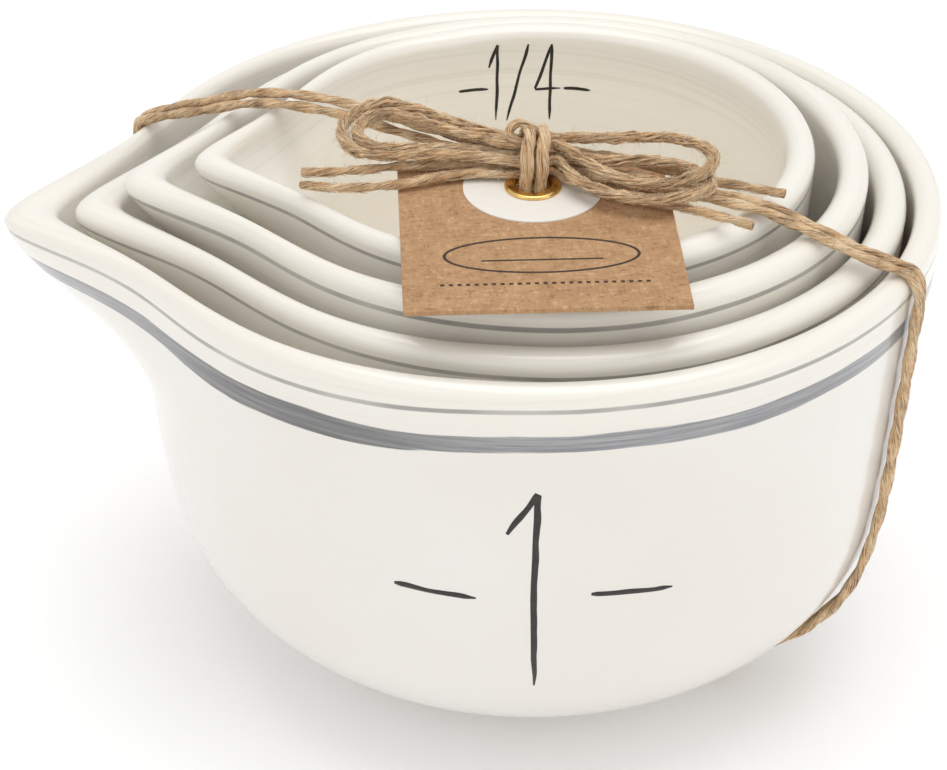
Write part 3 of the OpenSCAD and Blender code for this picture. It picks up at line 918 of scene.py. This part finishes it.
def make_mark(name, body, surface, strokes, middle_height):
    mesh = Mesh()
    for index, (route, width) in enumerate(strokes):
        raised = [(x, y + middle_height) for x, y in route]
        stroke(mesh, surface, raised, width, index)
    made = mesh.object(name, [paint])
    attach(made, body)


# ---- twine ----

STRAND_SPACING = 0.28
Frame = namedtuple("Frame", "point along side up distance")
# count, radius, offset from the middle, millimetres for a full turn, unevenness
Lay = namedtuple("Lay", "count radius offset turn roughness")
TIGHT = Lay(2, 0.46, 0.17, 11, 0.13)
TAIL_LAY = Lay(2, 0.39, 0.14, 9, 0.15)
OPEN = Lay(7, 0.19, 0.38, 18, 0.75)
TAG_LAY = Lay(3, 0.4, 0.4, 16, 0.22)


def spline_point(a, b, c, d, t):
    return 0.5 * (
        2 * b + (c - a) * t + (2 * a - 5 * b + 4 * c - d) * t * t
        + (3 * b - a - 3 * c + d) * t * t * t
    )


def smooth(route, steps=8, closed=False):
    """Smooth line through a route's points."""
    points = [Vector(p) for p in route]
    last = len(points) - 1
    line = []
    for i in range(last + 1 if closed else last):
        if closed:
            a, b, c, d = (points[(i + k) % (last + 1)] for k in (-1, 0, 1, 2))
        else:
            b = points[i]
            c = points[i + 1]
            a = points[i - 1] if i > 0 else 2 * b - c
            d = points[i + 2] if i < last - 1 else 2 * c - b
        line.extend(spline_point(a, b, c, d, k / steps) for k in range(steps))
    if not closed:
        line.append(points[last])
    return line


def resample(line, spacing):
    """Evenly spaced points along a line, ends included."""
    lengths = [0]
    for p, q in zip(line, line[1:]):
        lengths.append(lengths[-1] + (q - p).length)
    count = max(2, round(lengths[-1] / spacing))
    result = []
    k = 0
    for i in range(count + 1):
        wanted = lengths[-1] * i / count
        while k < len(line) - 2 and lengths[k + 1] < wanted:
            k += 1
        span = lengths[k + 1] - lengths[k]
        share = (wanted - lengths[k]) / span if span > 0 else 0
        result.append(line[k].lerp(line[k + 1], min(1, share)))
    return result


def frames_along(line):
    """Frames that don't twist along an evenly spaced line, in millimetres."""
    frames = []
    side = None
    distance = 0
    for i, point in enumerate(line):
        along = (line[min(i + 1, len(line) - 1)] - line[max(i - 1, 0)]).normalized()
        if side is None:
            side = along.cross(Vector((0, 0, 1)))
            if side.length < 0.1:
                side = along.cross(Vector((1, 0, 0)))
        else:
            distance += (point - line[i - 1]).length
        side = (side - along * side.dot(along)).normalized()
        frames.append(Frame(point, along, side, side.cross(along), distance))
    return frames


PLY_SIDES = 10
# Loose fibres are three-sided
FIBRE_CORNERS = [k * 2 * math.pi / 3 for k in range(3)]
# Below this the twine is pressed against the foot and has no loose fibres
HAIRLESS_HEIGHT = 5


def add_plies(mesh, frames, lay, seed, squeeze=1.0):
    """The plies of one strand, each a rough tube that winds round the strand's middle."""
    for ply in range(lay.count):
        phase = 2 * math.pi * ply / lay.count
        tone = 0.5 + 0.5 * noise.noise(Vector((seed * 3.7, ply * 5.1, 0.5)))
        rings = []
        for f in frames:
            turn = phase + 2 * math.pi * f.distance / lay.turn
            slow = noise.noise(Vector((f.distance * 0.5, seed, ply * 7.3)))
            offset = lay.offset * (1 + lay.roughness * 1.6 * slow)
            middle = f.point + offset * (
                f.side * (math.cos(turn) * squeeze) + f.up * math.sin(turn)
            )
            ring = []
            for k in range(PLY_SIDES):
                angle = 2 * math.pi * k / PLY_SIDES
                lump = noise.noise(Vector((
                    f.distance * 0.8,
                    2.2 * math.cos(angle) + seed,
                    2.2 * math.sin(angle) + ply,
                )))
                radius = lay.radius * (1 + lay.roughness * lump)
                spot = middle + radius * (
                    f.side * math.cos(turn + angle) + f.up * math.sin(turn + angle)
                )
                ring.append(mesh.add(
                    place(*spot),
                    fibre=(
                        f.distance + seed * 31 + ply * 11,
                        lay.radius * math.cos(angle),
                        lay.radius * math.sin(angle),
                    ),
                    tone=float(tone),
                ))
            rings.append(ring)
        mesh.skin(rings)
        mesh.face(tuple(reversed(rings[0])))
        mesh.face(tuple(rings[-1]))


def fibre_ring(mesh, middle, radius, aside, over, fibre, tone):
    """Corners of a loose fibre's section."""
    ring = []
    for turn in FIBRE_CORNERS:
        corner = middle + radius * (aside * math.cos(turn) + over * math.sin(turn))
        ring.append(mesh.add(place(*corner), fibre=fibre, tone=tone))
    return ring


def add_hairs(mesh, frames, count, length, reach, rng, radius=0.028):
    """Loose fibres that leave the strand at a slant and curl."""
    raised = [f for f in frames if f.point.z > HAIRLESS_HEIGHT]
    for _ in range(count):
        f = raised[rng.randrange(len(raised))]
        angle = rng.uniform(0, 2 * math.pi)
        outwards = f.side * math.cos(angle) + f.up * math.sin(angle)
        forwards = f.along * rng.choice((-1, 1))
        heading = (forwards + outwards * rng.uniform(0.2, 1.1)).normalized()
        bend = Vector((rng.uniform(-1, 1), rng.uniform(-1, 1), rng.uniform(-1, 1))) * 0.8
        point = f.point + outwards * reach
        total = length * rng.uniform(0.35, 1)
        tone = rng.uniform(0.6, 2.2)
        steps = 7
        rings = []
        for i in range(steps + 1):
            aside = heading.orthogonal().normalized()
            over = heading.cross(aside)
            thick = radius * (1 - 0.7 * i / steps)
            rings.append(fibre_ring(mesh, point, thick, aside, over, (float(i), 1.0, 0.0), tone))
            heading = (heading + bend * 0.5).normalized()
            point = point + heading * (total / steps)
        mesh.skin(rings)


def add_lying_fibres(mesh, frames, count, reach, rng, radius=0.035):
    """Fibres that follow the strand's surface and lift a little at their ends."""
    raised = [k for k, f in enumerate(frames) if f.point.z > HAIRLESS_HEIGHT]
    for _ in range(count):
        first = raised[rng.randrange(len(raised))]
        steps = rng.randrange(5, 13)
        angle = rng.uniform(0, 2 * math.pi)
        drift = rng.uniform(0.06, 0.2)
        lift = rng.uniform(0.02, 0.2)
        tone = rng.uniform(0, 2.2)
        rings = []
        for i, f in enumerate(frames[first:first + steps]):
            turn = angle + drift * i
            outwards = f.side * math.cos(turn) + f.up * math.sin(turn)
            end = abs(2 * i / (steps - 1) - 1)
            middle = f.point + outwards * (reach + lift * end * end)
            thick = radius * (1.1 - 0.6 * end)
            aside = f.along.cross(outwards)
            fibre = (float(i), 1.0, turn)
            rings.append(fibre_ring(mesh, middle, thick, outwards, aside, fibre, tone))
        if len(rings) > 2:
            mesh.skin(rings)


def finish_twine(mesh, name, body=None, nodes=()):
    made = mesh.object(name, [twine])
    if body:
        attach(made, body)
    if nodes:
        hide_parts(*nodes)
    return made


# Each cord: its name, the CAD nodes it stands for, its loop, what it does in the knot, its tail
BOW_CORDS = [
    ("bow_cord_left_upper", ("bow_loop_left_a", "bow_tail_right_a"), LOOP_LEFT_A,
     [(-1.65, -12.3, 71.1)], TAIL_RIGHT_A),
    ("bow_cord_left_lower", ("bow_loop_left_b", "bow_tail_right_b"), LOOP_LEFT_B,
     [(-1.65, -14.4, 70.4)], TAIL_RIGHT_B),
    ("bow_cord_right_upper", ("bow_loop_right_a", "bow_tail_left_a"), LOOP_RIGHT_A,
     [(-1.65, -13, 71)], TAIL_LEFT_A),
    ("bow_cord_right_lower", ("bow_loop_right_b", "bow_tail_left_b"), LOOP_RIGHT_B,
     [(-1.65, -14.4, 70.5)], TAIL_LEFT_B),
]
LOOP_LYING_FIBRES = 320
TAIL_LYING_FIBRES = 120
LOOP_HAIRS = 260
TAIL_HAIRS = 80


def line_length(line):
    return sum((q - p).length for p, q in zip(line, line[1:]))


def make_bow_cord(name, nodes, loop, inside, tail, seed):
    """One strand of the bow: out of the knot, round a loop, back through the knot and out as a
    cut tail."""
    line = resample(smooth(loop + inside + tail), STRAND_SPACING)
    frames = frames_along(line)
    loop_length = line_length(smooth(loop))
    mesh = Mesh()
    split = sum(1 for f in frames if f.distance < loop_length)
    add_plies(mesh, frames[:split + 1], OPEN, seed)
    add_plies(mesh, frames[split - 2:], TAIL_LAY, seed + 0.5)
    made = finish_twine(mesh, name, "quarter", nodes)
    rng = random.Random(round(seed * 10) + 5)
    fluff = Mesh()
    add_lying_fibres(fluff, frames[:split], LOOP_LYING_FIBRES, 0.56, rng)
    add_lying_fibres(fluff, frames[split:], TAIL_LYING_FIBRES, 0.52, rng)
    loop_end = frames[split * 2 // 5:split * 3 // 5]
    add_lying_fibres(fluff, loop_end, LOOP_LYING_FIBRES // 2, 0.64, rng)
    add_hairs(fluff, loop_end, LOOP_HAIRS // 2, 1.8, 0.5, rng)
    add_hairs(fluff, frames[:split], LOOP_HAIRS, 1.7, 0.45, rng)
    add_hairs(fluff, frames[split:], TAIL_HAIRS, 1.2, 0.42, rng)
    finish_twine(fluff, name + "_fibres", "quarter")


def tie_strand(side):
    """Route of one of the tie's two strands."""
    turn = math.radians(TIE_BEARING)
    across = (-math.sin(turn), math.cos(turn))
    direction = (math.cos(turn), math.sin(turn))
    middle = list(LEFT_SPAN)
    for along, z in WRAP:
        middle.append((
            TIE_MIDDLE[0] + along * direction[0], TIE_MIDDLE[1] + along * direction[1], z, 0
        ))
    middle.extend(RIGHT_SPAN)
    route = []
    for x, y, z, roll in middle:
        flat = side * STRAND_OFFSET * math.cos(math.radians(roll))
        rise = side * STRAND_OFFSET * math.sin(math.radians(roll))
        route.append((x + flat * across[0], y + flat * across[1], z + rise))
    return route


def make_tie():
    """Both strands all the way round, cut where one body's stretch gives way to the next
    one's. A stretch on one body is attached to it; a stretch between two bodies is left unattached."""
    wrap_end = len(LEFT_SPAN) + len(WRAP)
    left = LEFT_SPLITS
    right = [wrap_end + k for k in RIGHT_SPLITS]
    last = wrap_end + len(RIGHT_SPAN) - 1
    # name, first and last route point, bodies, CAD nodes it stands for
    stretches = [
        ("top_twine_left_run", 0, left[0], ("quarter",), ("top_twine_left",)),
        ("third_twine_left", left[0], left[1], ("quarter", "third"), ("rim_twine_third_left",)),
        ("half_twine_left", left[1], left[2], ("third", "half"), ("rim_twine_half_left",)),
        ("full_twine_left", left[2], left[2] + 2, ("half", "full"), ()),
        ("wrap_twine", left[2] + 2, right[0] - 2, ("full",), ("wrap_strand_a", "wrap_strand_b")),
        ("full_twine_right", right[0] - 2, right[0], ("full", "half"), ()),
        ("half_twine_right", right[0], right[1], ("half", "third"), ("rim_twine_half_right",)),
        ("third_twine_right", right[1], right[2], ("third", "quarter"),
         ("rim_twine_third_right",)),
        ("top_twine_right_run", right[2], last, ("quarter",), ("top_twine_right",)),
    ]
    strands = []
    for side in (1, -1):
        route = tie_strand(side)
        frames = frames_along(resample(smooth(route), STRAND_SPACING))
        stops = [0]
        for k in range(1, len(route)):
            stops.append(line_length(smooth(route[:k + 1])))
        strands.append((side, route, frames, stops))
    rng = random.Random(3)
    for name, first, final, bodies, nodes in stretches:
        mesh = Mesh()
        for side, route, frames, stops in strands:
            low = nearest(frames, stops[first])
            high = nearest(frames, stops[final])
            part = frames[low:high + 1]
            add_plies(mesh, part, TIGHT, 20 + side)
            hairs = round((stops[final] - stops[first]) / 5)
            add_hairs(mesh, part, hairs, 1.5, 0.45, rng, 0.02)
        made = finish_twine(mesh, name, bodies[0] if len(bodies) == 1 else None, nodes)
        if len(bodies) == 2:
            route = strands[0][1]
            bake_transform(made)


def nearest(frames, distance):
    return min(range(len(frames)), key=lambda i: abs(frames[i].distance - distance))


TAG_STRAND_OFFSET = 0.84


def make_tag_loop():
    mesh = Mesh()
    line = smooth(TAG_LOOP, closed=True)
    frames = frames_along(resample(line + [line[0]], STRAND_SPACING))
    rng = random.Random(8)
    for side in (1, -1):
        aside = Vector((side * TAG_STRAND_OFFSET, 0, 0))
        moved = [f._replace(point=f.point + aside) for f in frames]
        add_plies(mesh, moved, TAG_LAY, 30 + side)
        add_hairs(mesh, moved, 26, 1.3, 0.6, rng)
    finish_twine(mesh, "tag_loop_strands", "quarter", ("tag_loop",))


def make_knot():
    """Strands drawn together under the tag's loop, with a small bight left at the top."""
    mesh = Mesh()
    rng = random.Random(12)
    for seed, route in enumerate(KNOT_PASSES):
        frames = frames_along(resample(smooth(route), STRAND_SPACING))
        add_plies(mesh, frames, OPEN, 40 + seed)
    frames = frames_along(resample(smooth(KNOT_BIGHT), STRAND_SPACING))
    add_plies(mesh, frames, OPEN, 50)
    add_hairs(mesh, frames, 26, 1.4, 0.5, rng)
    finish_twine(mesh, "bow_knot_strands", "quarter", ("bow_knot",))


# ---- tag ----

EYELET_CENTRE = (-2.7, -15.7, 68.3)
TAG_TURN = -5.5
TAG_TILT = 0.8
TAG_THICKNESS = 0.5
PATCH_THICKNESS = 0.15
WASHER_THICKNESS = 0.25
# Radii of the eyelet's and the washer's parts
EYELET_BORE = 1.8
EYELET_FLANGE = 3.2
TUBE_WALL = 0.4
THROAT_ROUND = 0.45
FLANGE_ROUND = 0.32
ROLLED_ROUND = 0.22
WASHER_ROUND = 0.12
WASHER_HOLE = EYELET_BORE + 0.42
tag_turning = (
    Matrix.Rotation(math.radians(TAG_TURN), 3, "Z")
    @ Matrix.Rotation(math.radians(TAG_TILT), 3, "X")
)


def on_tag(x, y, z):
    """Place from millimetres on the tag: x to its right, y towards its back edge from the
    eyelet's middle, z out of its face."""
    return place(*(Vector(EYELET_CENTRE) + tag_turning @ Vector((x, y, z))))


# The print, in millimetres on the tag
INK_HEIGHT = TAG_THICKNESS / 2 + 0.012
OVAL_MIDDLE = -14.6
OVAL_HALF_WIDTH = 10.4
OVAL_HALF_HEIGHT = 3.6
OVAL_STEPS = 64
WRITING_HALF_WIDTH = 6.5
WRITING_LINE = -15.6
RULE_LINE = -20.4
RULE_START = -10.8
DOT_COUNT = 25
DOT_SPACING = 0.9
DOT_HALF_LENGTH = 0.22


def make_tag_print():
    """A blank oval label with a write-on line, and a dotted rule under it."""
    mesh = Mesh()
    oval = []
    for i in range(OVAL_STEPS + 1):
        turn = 2 * math.pi * i / OVAL_STEPS
        x = OVAL_HALF_WIDTH * math.cos(turn)
        oval.append((x, OVAL_MIDDLE + OVAL_HALF_HEIGHT * math.sin(turn)))
    print_line(mesh, oval, 0.34)
    writing = [(-WRITING_HALF_WIDTH, WRITING_LINE), (WRITING_HALF_WIDTH, WRITING_LINE)]
    print_line(mesh, writing, 0.3)
    for i in range(DOT_COUNT):
        x = RULE_START + DOT_SPACING * i
        print_line(mesh, [(x - DOT_HALF_LENGTH, RULE_LINE), (x + DOT_HALF_LENGTH, RULE_LINE)], 0.42)
    made = mesh.object("tag_print", [tag_ink()])
    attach(made, "tag")


def print_line(mesh, route, width):
    """Flat printed line of even width."""
    rings = []
    for i, (x, y) in enumerate(route):
        before = route[max(i - 1, 0)]
        after = route[min(i + 1, len(route) - 1)]
        # Only the oval has more than two points, and its ends meet
        if len(route) > 2 and i in (0, len(route) - 1):
            before = route[-2]
            after = route[1]
        length = math.dist(before, after)
        aside = (-(after[1] - before[1]) / length, (after[0] - before[0]) / length)
        rings.append([
            mesh.add(on_tag(
                x + k * aside[0] * width / 2, y + k * aside[1] * width / 2, INK_HEIGHT
            ))
            for k in (-1, 1)
        ])
    mesh.skin(rings, closed=False)


def turned(name, outline, material, nodes):
    """A ring turned about the eyelet's axis, from its closed outline of (radius, height)."""
    mesh = Mesh()
    sides = 72
    rings = []
    for i in range(sides):
        turn = 2 * math.pi * i / sides
        rings.append([
            mesh.add(on_tag(r * math.cos(turn), r * math.sin(turn), z)) for r, z in outline
        ])
    mesh.skin(rings + [rings[0]])
    made = mesh.object(name, [material])
    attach(made, "tag")
    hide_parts(*nodes)


def arc(middle, radius, start, end, steps=8):
    """Points of (radius, height) on an arc between two angles."""
    points = []
    for i in range(steps + 1):
        turn = math.radians(start + (end - start) * i / steps)
        points.append((middle[0] + radius * math.cos(turn), middle[1] + radius * math.sin(turn)))
    return points


def make_eyelet():
    """Domed flange that rolls down into the tube, whose lower end is turned out over the
    washer."""
    top = TAG_THICKNESS / 2 + PATCH_THICKNESS
    low = -top - WASHER_THICKNESS
    outline = (
        [(EYELET_BORE, low), (EYELET_BORE, top)]
        + arc((EYELET_BORE + THROAT_ROUND, top - 0.02), THROAT_ROUND, 180, 90)
        + arc((EYELET_FLANGE - FLANGE_ROUND, top + 0.11), FLANGE_ROUND, 90, -20)
        + [(EYELET_BORE + TUBE_WALL, top), (EYELET_BORE + TUBE_WALL - 0.02, low)]
        + arc((EYELET_BORE + TUBE_WALL, low - 0.1), ROLLED_ROUND, 60, -120)
    )
    turned("eyelet_shell", outline, metal, ("eyelet",))
    washer = (
        arc((EYELET_FLANGE - WASHER_ROUND, -top - WASHER_ROUND), WASHER_ROUND, 90, -90, 6)
        + [(WASHER_HOLE, low), (WASHER_HOLE, -top)]
    )
    turned("eyelet_washer_ring", washer, metal, ("eyelet_washer",))


def dress_tag():
    """The card and its two paper rings keep their CAD shape and get their material."""
    for node, material in (
        ("tag_card", kraft("kraft_card")),
        ("tag_patch_front", white_paper_painted_shade()),
        ("tag_patch_back", white_paper_painted_shade()),
    ):
        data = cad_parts[node].data
        data.materials.clear()
        data.materials.append(material)


# ---- stage, in metres and watts ----

FLOOR_HALF = 3
LIGHT_AIM = (0, 0, 0.03)
# name, place, width, power
LIGHTS = [
    ("key", (0.05, 0, 1), 0.9, 3.9),
    ("fill", (0.75, -0.7, 0.45), 0.9, 1.2),
    ("left", (-0.8, -0.6, 0.6), 0.8, 0.9),
]
SKY_STRENGTH = 0.76


def make_floor():
    half = FLOOR_HALF
    mesh = Mesh()
    square = ((-half, -half), (half, -half), (half, half), (-half, half))
    mesh.face(tuple(mesh.add(Vector((x, y, 0))) for x, y in square))
    floor = mesh.object("floor", [floor_paper()], smooth=False)


def make_light(name, spot, size, power):
    data = bpy.data.lights.new(name, "AREA")
    data.shape = "DISK"
    data.size = size
    data.energy = power
    light = bpy.data.objects.new(name, data)
    bpy.context.scene.collection.objects.link(light)
    light.location = spot
    light.rotation_euler = (Vector(LIGHT_AIM) - Vector(spot)).to_track_quat("-Z", "Y").to_euler()


def make_lights():
    world = bpy.data.worlds.new("studio")
    world.use_nodes = True
    sky = world.node_tree.nodes["Background"]
    sky.inputs["Color"].default_value = (1, 1, 1, 1)
    sky.inputs["Strength"].default_value = SKY_STRENGTH
    bpy.context.scene.world = world
    for light in LIGHTS:
        make_light(*light)
    bpy.context.scene.view_settings.view_transform = "Standard"


make_camera()
clay = bare_foot()
paint = black_paint()
# Of the twine's colours, the darkest is partly painted shade for the grooves between fibres and the
# lightest partly painted highlight
twine = jute("jute", srgb(255, 234, 196), srgb(224, 176, 123), srgb(108, 69, 40))
metal = brass()
for seed, (cord_name, *parts) in enumerate(BOW_CORDS):
    make_bow_cord(cord_name, *parts, seed)
make_tie()
make_tag_loop()
make_knot()
for cup_name, cup in CUPS.items():
    make_cup(cup_name, cup, CUP_SEEDS[cup_name])
make_mark(
    "full_cup_mark", "full",
    surface_of(CUPS["full_cup"], FULL_MARK_BEARING, CUP_SEEDS["full_cup"], 1),
    FULL_MARK, FULL_MARK_HEIGHT,
)
make_mark(
    "quarter_cup_mark", "quarter",
    surface_of(CUPS["quarter_cup"], QUARTER_MARK_BEARING, CUP_SEEDS["quarter_cup"], -1),
    QUARTER_MARK, QUARTER_MARK_HEIGHT,
)
make_tag_print()
make_eyelet()
dress_tag()
make_floor()
make_lights()
